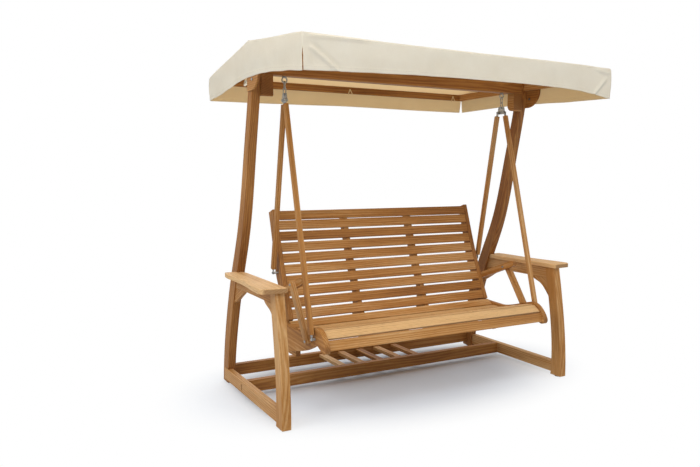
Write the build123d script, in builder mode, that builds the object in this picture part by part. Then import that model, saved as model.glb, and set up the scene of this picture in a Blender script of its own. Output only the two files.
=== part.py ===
"""Wooden porch swing with a canopy, in millimetres.

Frame: +X to the right as seen from the front, the bench faces -Y, +Z up.
Origin: on the floor, in the middle of the length, under the main beam.
"""
from build123d import *
import math
import os

os.makedirs("parts", exist_ok=True)

# ---------------------------------------------------------------- end frames
half_width = 1000.0          # outer face of a front leg from the middle
leg_thickness = 52.0         # across, X
leg_foot_front = -434.0      # front edge of the front leg at the floor
leg_depth = 74.0             # front to back, Y
leg_foot_flare = 10.0        # extra depth at the floor
leg_top_setback = 80.0       # how far the leg leans back by the armrest
post_inset = 12.0            # the rear posts stand this far inside the legs
post_thickness = 50.0
post_foot_rear = 558.0       # rear edge of the post at the floor
post_depth = 87.0            # front to back, below the knee
post_top_depth = 60.0        # front to back, under the canopy
post_knee_height = 960.0
post_knee_rear = 262.0       # rear edge of the post at the knee

rail_bottom = 23.0
rail_height = 72.0
side_rail_thickness = 40.0
rear_rail_lift = 10.0         # the rear cross rail lies this much above the others
rear_rail_inset = 4.0         # from the posts' rear edge
mid_rail_front = 178.0       # front face of the middle cross rail
cross_rail_depth = 40.0
base_slat_count = 5
base_slat_width = 46.0
base_slat_thickness = 22.0
base_slat_pitch = 142.0
base_slat_shift = -20.0
tenon_height = 34.0
tenon_thickness = 10.0
tenon_recess = 4.0           # the tenon's end lies this deep in the side rail's face
edge_chamfer = 2.0

arm_height = 737.0           # top of the armrest
armrest_thickness = 26.0
armrest_front = -380.0
armrest_reach_in = 61.0      # inner edge, inside the leg's outer face
armrest_reach_front = 88.0   # outer edge, outside the leg's outer face
armrest_reach_rear = 57.0
armrest_rear = 298.0
armrest_notch = 80.0         # the inner edge stops this far before the rear end
armrest_corner = 8.0
armrest_outer_corner = 42.0
armrest_taper = 14.0         # the front edge runs back this much to its outer end
armrest_heel = 18.0          # the notch ends this far before the post
armrest_edge = 5.0
arm_rail_height = 73.0
arm_rail_thickness = 28.0
bracket_thickness = 24.0
bracket_end_depth = 5.0      # the brackets' lower ends lie this deep in the leg and the post
bracket_reach = 150.0        # along the arm rail
bracket_drop = 148.0         # down the leg
rear_bracket_reach = 146.0
rear_bracket_drop = 104.0
glide_height = 6.0
glide_diameter = 40.0

# ---------------------------------------------------------------- canopy
beam_bottom = 1862.0
beam_height = 90.0
corner_block_width = 70.0
corner_block_drop = 116.0
corner_block_radius = 38.0
corner_block_chamfer = 6.0
canopy_overhang = 1.0        # of the canvas past the front legs' outer faces
canopy_half_depth = 711.0
front_eave_rise = 84.0       # outer top edge of the canvas, above the beam's underside
rear_eave_rise = 68.0
ridge_rail_height = 82.0
fabric = 3.0
soft_gap = 0.3               # canvas to wood
valance_drop = 166.0         # below the front eave
valance_lift = 57.0          # the side valances rise this much in the middle
seam_gap = 1.5               # open slit between two valances at a corner
canopy_rail_height = 44.0
canopy_rail_depth = 30.0
side_rail_housing = 28.0     # depth of the notch in a post for the canopy's side rail
ridge_rail_depth = 30.0
arm_plate_drop = 92.0        # of a canopy arm below the beam's underside
arm_plate_reach = 145.0      # in front of the beam's middle
arm_plate_front_radius = 112.0
arm_plate_rear_radius = 28.0
arm_bolt_y = -53.0
arm_bolt_drop = 35.0         # below the beam's underside
arm_screw_rise = 10.0        # above the beam's underside
tie_width = 12.0
tie_thickness = 2.0
tie_length = 80.0
tie_inset = 40.0             # the outer ties' middles from the posts' inner faces
knot_length = 110.0          # behind the post
knot_size = 20.0

# ---------------------------------------------------------------- hanging gear
chain_clearance = 80.0       # corner blocks to the chains' middles
rod_clearance = 6.0          # rods to seat rails
eye_wire = 8.0
eye_inner = 22.0
eye_shank = 62.0             # in the beam
eye_shank_diameter = 10.0
eye_collar = 22.0
eye_collar_height = 3.0
eye_drop = 1.0               # the ring's top lies this far below the beam
link_wire = 6.0
link_inner = 10.0
link_straight = 25.0
link_play = 0.5
plate_thickness = 4.0
plate_height = 50.0
plate_top_width = 52.0
plate_bottom_width = 76.0
plate_corner = 6.0
plate_hole = 9.0
plate_play = 0.8
plate_hole_edge = 8.0
plate_bolt_spread = 26.0     # each lower bolt from the middle
plate_bolt_edge = 11.0       # lower bolts above the plate's lower edge
rod_size = 26.0
rod_offset = 8.0             # rods' middle plane either side of the plate
strap_thickness = 3.0
strap_width = 18.0
strap_in = 30.0
strap_out = 24.0             # bolt to the end of the rod
bolt_diameter = 8.0
bolt_fit = 0.3               # hole larger than the bolt
bolt_head = 14.0
bolt_head_height = 5.0
sleeve_diameter = 14.0
screw_depth = 22.0           # coach screws in wood

# ---------------------------------------------------------------- bench
stile_thickness = 30.0
seat_rail_thickness = 30.0
slat_thickness = 18.0
slat_start = 9.0             # along the sitting line, from its top
back_slat_width = 56.0
back_slat_gap = 13.0
top_slat_gap = 6.0           # under the top slat
back_slat_count = 10
seat_slat_width = 53.0
seat_slat_gap = 13.0
seat_slat_count = 7          # the flat ones, before the two of the nose
nose_slat_width = 63.0
nose_gap = 9.0
front_slat_width = 60.0
slat_edge = 2.5
stile_proud = 4.0            # of the back slats
stile_top_depth = 60.0
stile_foot_depth = 84.0
stile_bottom = 408.0
stile_foot_length = 158.0
stile_corner_rise = 10.0     # of the stile's rear edge over the seat rail's rear corner
stile_overhang = 5.0         # of the stile behind the seat rail
slat_backing = 1.0           # the stile stands this much behind the slats' backs, at its foot
rail_proud = 9.0             # of the seat slats
rail_rear = (225.0, 480.0)   # the seat rail's upper rear corner
rail_rear_bottom = 291.0
rail_crest = [(150, 456), (60, 446), (-30, 442)]
rail_flat_front = (-190.0, 341.0)
rail_flat_rear = (-14.0, 301.0)
hook_steps = [(-206, 70), (-180, 75), (-142, 58), (-76, 27)]   # from rail_flat_front
crest_start = 168.0          # the rail follows the slats from here, past the back
nose_end = 34.0              # and up to here, before the front slat's end
chin_steps = [(12, -14), (42, -12)]                            # from the nose
batten_x = 245.0
batten_thickness = 30.0
batten_depth = 46.0
batten_seat = 5.0            # depth of the seats cut in a batten for the slats
batten_short = 4.0           # the batten ends this far before the front slat
batten_heel = [(170, 430), (150, 300)]
seat_block_length = 116.0    # under the seat rails' inner faces
seat_block_thickness = 30.0
seat_block_rise = 40.0       # up the rail's inner face
seat_block_drop = 40.0       # below the rail's underside
seat_block_front = -40.0
bench_arm_height = 38.0
bench_arm_front = (-194.0, 738.0)
bench_arm_rear = (172.0, 600.0)
bench_arm_screw = 30.0       # in front of the arm's rear end
strut_width = 38.0
strut_thickness = 26.0
strut_top_in = 108.0         # the strut's upper bolt, from the arm's front end
strut_foot = (-290.0, 420.0)
front_rod_bolt = (-362.0, 446.0)
rear_rod_bolt = (214.0, 726.0)

# the sitting line, from the top of the back over the seat to the nose: (Y, Z)
sitting_line = [
    (305, 1102), (262, 973), (217, 842), (166, 711), (112, 588), (82, 518),
    (46, 455), (2, 428), (-62, 427), (-150, 442), (-250, 468), (-335, 492),
    (-384, 497), (-430, 474), (-463, 438), (-475, 396),
]

# ---------------------------------------------------------------- worked out
leg_inner = half_width - leg_thickness
post_outer = half_width - post_inset
post_inner = post_outer - post_thickness
rail_top = rail_bottom + rail_height
rail_middle = rail_bottom + rail_height / 2
side_rail_inner = leg_inner + (leg_thickness - side_rail_thickness) / 2
side_rail_outer = side_rail_inner + side_rail_thickness
under_arm = arm_height - armrest_thickness
arm_rail_bottom = under_arm - arm_rail_height
arm_rail_inner = leg_inner + (post_outer - leg_inner - arm_rail_thickness) / 2
bracket_inner = leg_inner + (post_outer - leg_inner - bracket_thickness) / 2
leg_back = leg_foot_front + leg_depth          # rear edge of the leg, low down
post_lean = post_foot_rear - post_knee_rear
mid_rail_rear = mid_rail_front + cross_rail_depth
rear_rail_rear = post_foot_rear - rear_rail_inset
rear_rail_front = rear_rail_rear - cross_rail_depth

beam_top = beam_bottom + beam_height
canopy_half_length = half_width + canopy_overhang
front_eave = beam_bottom + front_eave_rise
rear_eave = beam_bottom + rear_eave_rise
ridge_rail_top = beam_top + ridge_rail_height
steeper_rise = ridge_rail_top + soft_gap + fabric - min(front_eave, rear_eave)
steeper_slope = steeper_rise / (canopy_half_depth - ridge_rail_depth / 2)
roof_lift = fabric * math.hypot(1, steeper_slope)
ridge_height = ridge_rail_top + soft_gap + roof_lift + steeper_slope * ridge_rail_depth / 2
inside_length = canopy_half_length - fabric
inside_depth = canopy_half_depth - fabric
frame_half_length = inside_length - soft_gap
frame_half_depth = inside_depth - soft_gap
canopy_rail_inner = frame_half_depth - canopy_rail_depth
arm_plate_thickness = frame_half_length - post_outer
valance_bottom = front_eave - valance_drop

chain_x = post_inner - corner_block_width - chain_clearance
rail_outer = chain_x + rod_offset - rod_size / 2 - rod_clearance
stile_outer = rail_outer - seat_rail_thickness      # also the inner face of a seat rail
stile_inner = stile_outer - stile_thickness

eye_centre = beam_bottom - eye_drop - eye_inner / 2 - eye_wire
eye_radius = (eye_inner + eye_wire) / 2
eye_wire_z = eye_centre - eye_radius
link_radius = (link_inner + link_wire) / 2
link_step = link_wire + link_play
upper_link_top = eye_wire_z + (eye_wire + link_wire) / 2 + link_play - link_radius
upper_link_low = upper_link_top - link_straight
lower_link_top = upper_link_low - link_radius + link_step - link_radius
lower_link_low = lower_link_top - link_straight
link_wire_z = lower_link_low - link_radius
plate_hole_z = link_wire_z + link_wire / 2 + plate_play - plate_hole / 2
plate_top = plate_hole_z + plate_hole / 2 + plate_hole_edge
plate_bottom = plate_top - plate_height
plate_bolt_z = plate_bottom + plate_bolt_edge
plate_inner = chain_x - plate_thickness / 2
plate_outer = chain_x + plate_thickness / 2
front_rod_x = chain_x + rod_offset
rear_rod_x = chain_x - rod_offset
front_rod_top = (-plate_bolt_spread, plate_bolt_z)
rear_rod_top = (plate_bolt_spread, plate_bolt_z)

sitting = Spline(*sitting_line)
back_pitch = back_slat_width + back_slat_gap
second_slat_start = slat_start + back_slat_width + top_slat_gap
seat_start = second_slat_start + (back_slat_count - 1) * back_pitch
back_end = seat_start - back_slat_gap / 2
seat_pitch = seat_slat_width + seat_slat_gap
nose_start = seat_start + seat_slat_count * seat_pitch
front_start = nose_start + nose_slat_width + nose_gap
front_end = front_start + front_slat_width
hole_diameter = bolt_diameter + bolt_fit


def beside(along, depth):
    """The point (Y, Z) at a length along the sitting line, and at a depth behind it."""
    place = sitting.position_at(along, position_mode=PositionMode.LENGTH)
    heading = sitting.tangent_at(along, position_mode=PositionMode.LENGTH)
    return (place.X - depth * heading.Y, place.Y + depth * heading.X)


def evenly(first, last, count):
    """Evenly spaced lengths from the first to the last."""
    return [first + (last - first) * number / (count - 1) for number in range(count)]


def roof_z(y):
    """Height of the canvas's outer face at y."""
    eave = front_eave if y < 0 else rear_eave
    return ridge_height - (ridge_height - eave) * abs(y) / canopy_half_depth


def edge_y(edge, height):
    """Where an edge that rises all the way reaches a height, by halving."""
    low, high = 0.0, 1.0
    for _ in range(40):
        middle = (low + high) / 2
        low, high = (middle, high) if edge.position_at(middle).Y < height else (low, middle)
    return edge.position_at(low).X


def between(start, end, share):
    """The point at a share of the way from one point to another."""
    return (start[0] + share * (end[0] - start[0]), start[1] + share * (end[1] - start[1]))


def further(start, end, distance):
    """The point at a distance beyond the end of a line; negative lies short of it."""
    return between(start, end, 1 + distance / math.dist(start, end))


def slope_angle(start, end):
    return math.degrees(math.atan2(end[1] - start[1], end[0] - start[0]))


def export(builder, name):
    """Label one finished piece and write its STEP file."""
    builder.part.label = name
    export_step(builder.part, f"parts/{name}.step")


def export_pair(builder, name):
    """Write a right-hand piece and its mirror image on the left."""
    export(builder, f"right_{name}")
    with BuildPart() as left:
        mirror(builder.part, about=Plane.YZ)
    export(left, f"left_{name}")


def across(x_inner, thickness, outline, ease=edge_chamfer):
    """A board that stands along the YZ plane, with the outline that a function draws."""
    with BuildPart() as board:
        with BuildSketch(Plane.YZ.offset(x_inner)):
            with BuildLine():
                outline()
            make_face()
        extrude(amount=thickness)
        if ease:
            chamfer(board.faces().filter_by(Axis.X).edges(), length=ease)
    return board


def along_x(x_start, x_end, centre, size, ease=edge_chamfer):
    """A rail along X, with its section (Y, Z) centred on a point."""
    with BuildPart() as rail:
        with BuildSketch(Plane.YZ.offset(x_start)) as section:
            with Locations(centre):
                Rectangle(*size)
            if ease:
                chamfer(section.vertices(), length=ease)
        extrude(amount=x_end - x_start)
    return rail


def bar(start, end, width, x_inner, thickness, ease=edge_chamfer):
    """A straight square-ended bar between two points of the YZ plane."""
    with BuildPart() as wood:
        with BuildSketch(Plane.YZ.offset(x_inner)):
            with Locations(between(start, end, 0.5)):
                Rectangle(math.dist(start, end), width, rotation=slope_angle(start, end))
        extrude(amount=thickness)
        chamfer(wood.edges(), length=ease)
    return wood


# ================================================================ end frames
leg_front_points = [
    (leg_foot_front, glide_height),
    (leg_foot_front + 0.12 * leg_top_setback, 0.34 * under_arm),
    (leg_foot_front + 0.46 * leg_top_setback, 0.65 * under_arm),
    (leg_foot_front + leg_top_setback, under_arm),
]
leg_rear_points = [
    (leg_back + leg_foot_flare, glide_height),
    (leg_back + 0.12 * leg_top_setback, 0.34 * under_arm),
    (leg_back + 0.46 * leg_top_setback, 0.65 * under_arm),
    (leg_back + leg_top_setback, under_arm),
]
knee = post_knee_height
knee_front = post_knee_rear - post_depth
over_knee = beam_bottom - knee
rear_rise = post_knee_rear - post_top_depth / 2
front_rise = knee_front + post_top_depth / 2
post_rear_points = [
    (post_foot_rear, glide_height),
    (post_foot_rear - 0.05 * post_lean, 0.16 * knee),
    (post_foot_rear - 0.25 * post_lean, 0.43 * knee),
    (post_foot_rear - 0.64 * post_lean, 0.76 * knee),
    (post_knee_rear, knee),
    (post_knee_rear - 0.60 * rear_rise, knee + 0.55 * over_knee),
    (post_knee_rear - 0.93 * rear_rise, knee + 0.90 * over_knee),
    (post_top_depth / 2, beam_bottom),
]
post_front_points = [
    (post_foot_rear - post_depth, glide_height),
    (post_foot_rear - 0.05 * post_lean - post_depth, 0.16 * knee),
    (post_foot_rear - 0.25 * post_lean - 1.04 * post_depth, 0.42 * knee),
    (post_foot_rear - 0.64 * post_lean - 1.04 * post_depth, 0.75 * knee),
    (knee_front, knee),
    (knee_front - 0.60 * front_rise, knee + 0.55 * over_knee),
    (knee_front - 0.93 * front_rise, knee + 0.90 * over_knee),
    (-post_top_depth / 2, beam_bottom),
]
leg_rear_edge = Spline(*leg_rear_points)
post_front_edge = Spline(*post_front_points)
leg_back_arm = edge_y(leg_rear_edge, arm_rail_bottom)
post_front_arm = edge_y(post_front_edge, arm_rail_bottom)


def leg_outline():
    front = Spline(*leg_front_points)
    rear = Spline(*leg_rear_points)
    Line(front @ 0, rear @ 0)
    Line(front @ 1, rear @ 1)


def post_outline():
    rear = Spline(*post_rear_points)
    front = Spline(*post_front_points)
    rear_top = Line(rear @ 1, (post_top_depth / 2, beam_top))
    front_top = Line(front @ 1, (-post_top_depth / 2, beam_top))
    Line(rear_top @ 1, front_top @ 1)
    Line(front @ 0, rear @ 0)


canopy_rail_top_front = roof_z(-inside_depth) - roof_lift - soft_gap
canopy_rail_top_rear = roof_z(inside_depth) - roof_lift - soft_gap
side_rail_top = min(canopy_rail_top_front, canopy_rail_top_rear)
arm_screw_z = beam_bottom + arm_screw_rise

front_leg = across(leg_inner, leg_thickness, leg_outline)
export_pair(front_leg, "front_leg")

with BuildPart() as rear_post:
    add(across(post_inner, post_thickness, post_outline).part)
    with BuildSketch(Plane.YZ.offset(post_outer - side_rail_housing)):
        with Locations((0, side_rail_top - canopy_rail_height / 2)):
            Rectangle(2 * post_top_depth, canopy_rail_height)
    extrude(amount=2 * side_rail_housing, mode=Mode.SUBTRACT)
    with BuildSketch(Plane.YZ.offset(post_outer)):
        with Locations((0, arm_screw_z)):
            Circle(hole_diameter / 2)
    extrude(amount=-screw_depth, mode=Mode.SUBTRACT)
export_pair(rear_post, "rear_post")

side_rail_front = leg_foot_front + leg_depth / 2
side_rail_rear = post_foot_rear - post_depth / 2

with BuildPart() as side_rail:
    with BuildSketch(Plane.YZ.offset(side_rail_inner)):
        with Locations(((side_rail_front + side_rail_rear) / 2, rail_middle)):
            Rectangle(side_rail_rear - side_rail_front, rail_height)
    extrude(amount=side_rail_thickness)
    chamfer(side_rail.edges().filter_by(Axis.Y), length=edge_chamfer)
    with BuildSketch(Plane.YZ.offset(side_rail_inner)):
        with Locations(((mid_rail_front + mid_rail_rear) / 2, rail_middle)):
            Rectangle(tenon_thickness, tenon_height)
    extrude(amount=side_rail_thickness, mode=Mode.SUBTRACT)
    add(front_leg.part, mode=Mode.SUBTRACT)
    add(rear_post.part, mode=Mode.SUBTRACT)
export_pair(side_rail, "side_rail")

arm_rail_front = leg_back_arm - leg_depth / 2
arm_rail_rear = post_front_arm + post_depth / 2
with BuildPart() as arm_rail:
    with BuildSketch(Plane.YZ.offset(arm_rail_inner)):
        with Locations(((arm_rail_front + arm_rail_rear) / 2, under_arm - arm_rail_height / 2)):
            Rectangle(arm_rail_rear - arm_rail_front, arm_rail_height)
    extrude(amount=arm_rail_thickness)
    chamfer(arm_rail.edges().filter_by(Axis.Y), length=edge_chamfer)
    add(front_leg.part, mode=Mode.SUBTRACT)
    add(rear_post.part, mode=Mode.SUBTRACT)
export_pair(arm_rail, "arm_rail")


def front_bracket_outline():
    curve = [(leg_back_arm + bracket_reach, arm_rail_bottom)]
    for reach, drop in ((0.86, 0.12), (0.47, 0.29), (0.26, 0.50), (0.11, 0.72)):
        height = arm_rail_bottom - drop * bracket_drop
        curve.append((edge_y(leg_rear_edge, height) + reach * bracket_reach, height))
    low = arm_rail_bottom - bracket_drop
    curve.append((edge_y(leg_rear_edge, low) - bracket_end_depth, low))
    edge = Spline(*curve)
    heel = leg_back_arm - leg_depth / 2
    Polyline(edge @ 0, (heel, arm_rail_bottom), (heel, low), edge @ 1)


def rear_bracket_outline():
    curve = [(post_front_arm - rear_bracket_reach, arm_rail_bottom)]
    for reach, drop in ((0.86, 0.17), (0.60, 0.42), (0.27, 0.76)):
        height = arm_rail_bottom - drop * rear_bracket_drop
        curve.append((edge_y(post_front_edge, height) - reach * rear_bracket_reach, height))
    low = arm_rail_bottom - rear_bracket_drop
    curve.append((edge_y(post_front_edge, low) + bracket_end_depth, low))
    edge = Spline(*curve)
    heel = post_front_arm + post_depth / 2
    Polyline(edge @ 0, (heel, arm_rail_bottom), (heel, low), edge @ 1)


with BuildPart() as front_bracket:
    add(across(bracket_inner, bracket_thickness, front_bracket_outline).part)
    add(front_leg.part, mode=Mode.SUBTRACT)
export_pair(front_bracket, "front_bracket")

with BuildPart() as rear_bracket:
    add(across(bracket_inner, bracket_thickness, rear_bracket_outline).part)
    add(rear_post.part, mode=Mode.SUBTRACT)
export_pair(rear_bracket, "rear_bracket")

armrest_inner = half_width - armrest_reach_in
armrest_wide = half_width + armrest_reach_front
armrest_slim = half_width + armrest_reach_rear
armrest_length = armrest_rear - armrest_front
with BuildPart() as armrest:
    with BuildSketch(Plane.XY.offset(under_arm)) as outline:
        with BuildLine():
            outer = Spline(
                (armrest_wide, armrest_front + armrest_taper),
                (armrest_wide + 0.22 * (armrest_slim - armrest_wide), armrest_front + 0.22 * armrest_length),
                (armrest_slim + 0.02 * armrest_thickness, armrest_front + 0.60 * armrest_length),
                (armrest_slim + 0.15 * armrest_thickness, armrest_front + 0.92 * armrest_length),
                (armrest_slim - 0.15 * armrest_thickness, armrest_rear),
            )
            Polyline(
                outer @ 1,
                (post_inner + post_thickness / 2, armrest_rear),
                (post_inner + post_thickness / 4, post_front_arm - armrest_heel),
                (armrest_inner, armrest_rear - armrest_notch),
                (armrest_inner, armrest_front),
                outer @ 0,
            )
        make_face()
        fillet(outline.vertices().sort_by(Axis.Y)[0], radius=armrest_corner)
        fillet(outline.vertices().sort_by(Axis.X)[-1], radius=armrest_outer_corner)
    extrude(amount=armrest_thickness)
    fillet(armrest.faces().sort_by(Axis.Z)[-1].edges(), radius=armrest_edge)
    add(rear_post.part, mode=Mode.SUBTRACT)
export_pair(armrest, "armrest")

with BuildPart() as mid_cross_rail:
    add(along_x(
        -side_rail_inner, side_rail_inner,
        ((mid_rail_front + mid_rail_rear) / 2, rail_middle), (cross_rail_depth, rail_height),
    ).part)
    with BuildSketch(Plane.YZ.offset(tenon_recess - side_rail_outer)):
        with Locations(((mid_rail_front + mid_rail_rear) / 2, rail_middle)):
            Rectangle(tenon_thickness, tenon_height)
    extrude(amount=2 * (side_rail_outer - tenon_recess))
export(mid_cross_rail, "mid_cross_rail")

rear_cross_rail = along_x(
    -post_inner, post_inner,
    ((rear_rail_front + rear_rail_rear) / 2, rail_middle + rear_rail_lift), (cross_rail_depth, rail_height),
)
export(rear_cross_rail, "rear_cross_rail")

with BuildPart() as base_slats:
    with BuildSketch(Plane.XZ.offset(-mid_rail_rear)):
        with Locations((base_slat_shift, rail_top - base_slat_thickness / 2)):
            with GridLocations(base_slat_pitch, 1, base_slat_count, 1):
                Rectangle(base_slat_width, base_slat_thickness)
    extrude(amount=mid_rail_rear - rear_rail_front)
    chamfer(base_slats.edges().filter_by(Axis.Y), length=edge_chamfer)
export(base_slats, "base_slats")

with BuildPart() as glide_feet:
    with BuildSketch(Plane.XY):
        with Locations(
            (leg_inner + leg_thickness / 2, leg_foot_front + (leg_depth + leg_foot_flare) / 2),
            (post_inner + post_thickness / 2, post_foot_rear - post_depth / 2),
        ):
            Circle(glide_diameter / 2)
    extrude(amount=glide_height)
    mirror(about=Plane.YZ)
export(glide_feet, "glide_feet")

# ================================================================ beam and canopy
with BuildPart() as main_beam:
    add(along_x(
        -post_inner, post_inner, (0, beam_bottom + beam_height / 2), (post_top_depth, beam_height)
    ).part)
    with BuildSketch(Plane.XY.offset(beam_bottom)):
        with Locations((chain_x, 0), (-chain_x, 0)):
            Circle((eye_shank_diameter + bolt_fit) / 2)
    extrude(amount=eye_shank, mode=Mode.SUBTRACT)
export(main_beam, "main_beam")

with BuildPart() as corner_block:
    with BuildSketch(Plane.YZ.offset(post_inner - corner_block_width)):
        with Locations((0, beam_bottom - corner_block_drop / 2)):
            block = Rectangle(post_top_depth, corner_block_drop)
        fillet(block.vertices().group_by(Axis.Y)[0].sort_by(Axis.X)[-1], radius=corner_block_radius)
    extrude(amount=corner_block_width)
    front_edges = corner_block.faces().sort_by(Axis.Y)[0].edges()
    chamfer(front_edges.sort_by(Axis.Z)[0], length=corner_block_chamfer)
export_pair(corner_block, "corner_block")

with BuildPart() as canopy_arm:
    arm_plate_bottom = beam_bottom - arm_plate_drop
    plate_width = arm_plate_reach + post_top_depth / 2
    with BuildSketch(Plane.YZ.offset(post_outer)) as plate:
        with Locations((post_top_depth / 2 - plate_width / 2, (side_rail_top + arm_plate_bottom) / 2)):
            Rectangle(plate_width, side_rail_top - arm_plate_bottom)
        lower_corners = plate.vertices().group_by(Axis.Y)[0].sort_by(Axis.X)
        fillet(lower_corners[0], radius=arm_plate_front_radius)
        fillet(lower_corners[-1], radius=arm_plate_rear_radius)
    extrude(amount=arm_plate_thickness)
    with BuildSketch(Plane.YZ.offset(post_outer)):
        with Locations((arm_bolt_y, beam_bottom - arm_bolt_drop), (0, arm_screw_z)):
            Circle(hole_diameter / 2)
    extrude(amount=arm_plate_thickness, mode=Mode.SUBTRACT)
    with BuildSketch(Plane.YZ.offset(frame_half_length)):
        with Locations((0, arm_screw_z)):
            Circle((bolt_head + bolt_fit) / 2)
    extrude(amount=-bolt_head_height, mode=Mode.SUBTRACT)
export_pair(canopy_arm, "canopy_arm")

frame_rail_y = frame_half_depth - canopy_rail_depth / 2
canopy_front_rail = along_x(
    -frame_half_length, frame_half_length,
    (-frame_rail_y, canopy_rail_top_front - canopy_rail_height / 2), (canopy_rail_depth, canopy_rail_height),
)
export(canopy_front_rail, "canopy_front_rail")
canopy_rear_rail = along_x(
    -frame_half_length, frame_half_length,
    (frame_rail_y, canopy_rail_top_rear - canopy_rail_height / 2), (canopy_rail_depth, canopy_rail_height),
)
export(canopy_rear_rail, "canopy_rear_rail")

with BuildPart() as canopy_side_rail:
    with BuildSketch(Plane.XZ.offset(-canopy_rail_inner)):
        with Locations((post_outer - side_rail_housing / 2, side_rail_top - canopy_rail_height / 2)):
            Rectangle(side_rail_housing, canopy_rail_height)
    extrude(amount=2 * canopy_rail_inner)
export(canopy_side_rail, "canopy_right_rail")
with BuildPart() as canopy_left_rail:
    mirror(canopy_side_rail.part, about=Plane.YZ)
export(canopy_left_rail, "canopy_left_rail")

ridge_rail = along_x(
    -frame_half_length, frame_half_length, (0, beam_top + ridge_rail_height / 2),
    (ridge_rail_depth, ridge_rail_height),
)
export(ridge_rail, "ridge_rail")


def roof_outline(side):
    eave = roof_z(side * canopy_half_depth)
    Polyline(
        (0, ridge_height),
        (side * canopy_half_depth, eave),
        (side * canopy_half_depth, eave - roof_lift),
        (0, ridge_height - roof_lift),
        close=True,
    )


def end_valance_outline(side):
    Polyline(
        (side * canopy_half_depth, valance_bottom),
        (side * inside_depth, valance_bottom),
        (side * inside_depth, roof_z(side * inside_depth) - roof_lift),
        (side * canopy_half_depth, roof_z(side * canopy_half_depth) - roof_lift),
        close=True,
    )


def side_valance_outline():
    end = inside_depth - seam_gap
    Polyline(
        (-end, valance_bottom),
        (-end, roof_z(-end) - roof_lift),
        (0, ridge_height - roof_lift),
        (end, roof_z(end) - roof_lift),
        (end, valance_bottom),
    )
    ThreePointArc((end, valance_bottom), (0, valance_bottom + valance_lift), (-end, valance_bottom))


for side, place in ((-1, "front"), (1, "rear")):
    roof = across(-canopy_half_length, 2 * canopy_half_length, lambda: roof_outline(side), ease=0)
    export(roof, f"roof_{place}")
    valance = across(-canopy_half_length, 2 * canopy_half_length, lambda: end_valance_outline(side), ease=0)
    export(valance, f"valance_{place}")

valance_right = across(inside_length, fabric, side_valance_outline, ease=0)
export(valance_right, "valance_right")
with BuildPart() as valance_left:
    mirror(valance_right.part, about=Plane.YZ)
export(valance_left, "valance_left")

# ties: tapes on the inner face of the front and rear rails, and a knotted one behind each post
with BuildPart() as knot:
    with BuildSketch(Plane.XZ):
        with Locations((post_outer - knot_size / 2, beam_bottom - arm_bolt_drop)):
            RectangleRounded(knot_size, knot_size, radius=knot_size / 3)
    extrude(amount=-(post_top_depth / 2 + knot_length))
    add(rear_post.part, mode=Mode.SUBTRACT)

with BuildPart() as canopy_ties:
    for side, rail_top_z in ((-1, canopy_rail_top_front), (1, canopy_rail_top_rear)):
        tie_y = side * (canopy_rail_inner - tie_thickness / 2)
        with BuildSketch(Plane.XY.offset(rail_top_z - canopy_rail_height / 2 - tie_length)):
            with Locations((0, tie_y), (post_inner - tie_inset, tie_y), (tie_inset - post_inner, tie_y)):
                Rectangle(tie_width, tie_thickness)
        extrude(amount=tie_length)
    add(knot.part)
    add(mirror(knot.part, about=Plane.YZ, mode=Mode.PRIVATE))
export(canopy_ties, "canopy_ties")

# ================================================================ hanging gear
with BuildPart() as eye_bolts:
    with Locations((chain_x, 0, beam_bottom), (-chain_x, 0, beam_bottom)):
        Cylinder(eye_shank_diameter / 2, eye_shank, align=(Align.CENTER, Align.CENTER, Align.MIN))
        Cylinder(eye_collar / 2, eye_collar_height, align=(Align.CENTER, Align.CENTER, Align.MAX))
    with Locations((chain_x, 0, eye_centre), (-chain_x, 0, eye_centre)):
        Torus(eye_radius, eye_wire / 2, rotation=(90, 0, 0))
export(eye_bolts, "eye_bolts")


def chain_link(low, top, spread):
    """One link: two straight sides joined by half rings, spread along X or Y."""
    bend_axis = (0, -1, 0) if spread.X else (1, 0, 0)
    wire_up = (chain_x + link_radius * spread.X, link_radius * spread.Y)
    wire_down = (chain_x - link_radius * spread.X, -link_radius * spread.Y)
    with BuildPart() as link:
        with BuildSketch(Plane.XY.offset(low)):
            with Locations(wire_up, wire_down):
                Circle(link_wire / 2)
        extrude(amount=top - low)
        with BuildSketch(Plane.XY.offset(top)):
            with Locations(wire_up):
                Circle(link_wire / 2)
        revolve(axis=Axis((chain_x, 0, top), bend_axis), revolution_arc=180)
        with BuildSketch(Plane.XY.offset(low)):
            with Locations(wire_down):
                Circle(link_wire / 2)
        revolve(axis=Axis((chain_x, 0, low), bend_axis), revolution_arc=180)
    return link


upper_link = chain_link(upper_link_low, upper_link_top, Vector(0, 1, 0))
lower_link = chain_link(lower_link_low, lower_link_top, Vector(1, 0, 0))
with BuildPart() as chain:
    add(upper_link.part)
    add(lower_link.part)
export_pair(chain, "chain")

with BuildPart() as hanger_plate:
    with BuildSketch(Plane.YZ.offset(plate_inner)) as plate:
        with BuildLine():
            Polyline(
                (-plate_top_width / 2, plate_top),
                (plate_top_width / 2, plate_top),
                (plate_bottom_width / 2, plate_bottom),
                (-plate_bottom_width / 2, plate_bottom),
                close=True,
            )
        make_face()
        fillet(plate.vertices(), radius=plate_corner)
        with Locations((0, plate_hole_z)):
            Circle(plate_hole / 2, mode=Mode.SUBTRACT)
        with Locations(front_rod_top, rear_rod_top):
            Circle(hole_diameter / 2, mode=Mode.SUBTRACT)
    extrude(amount=plate_thickness)
export_pair(hanger_plate, "hanger_plate")


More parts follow.
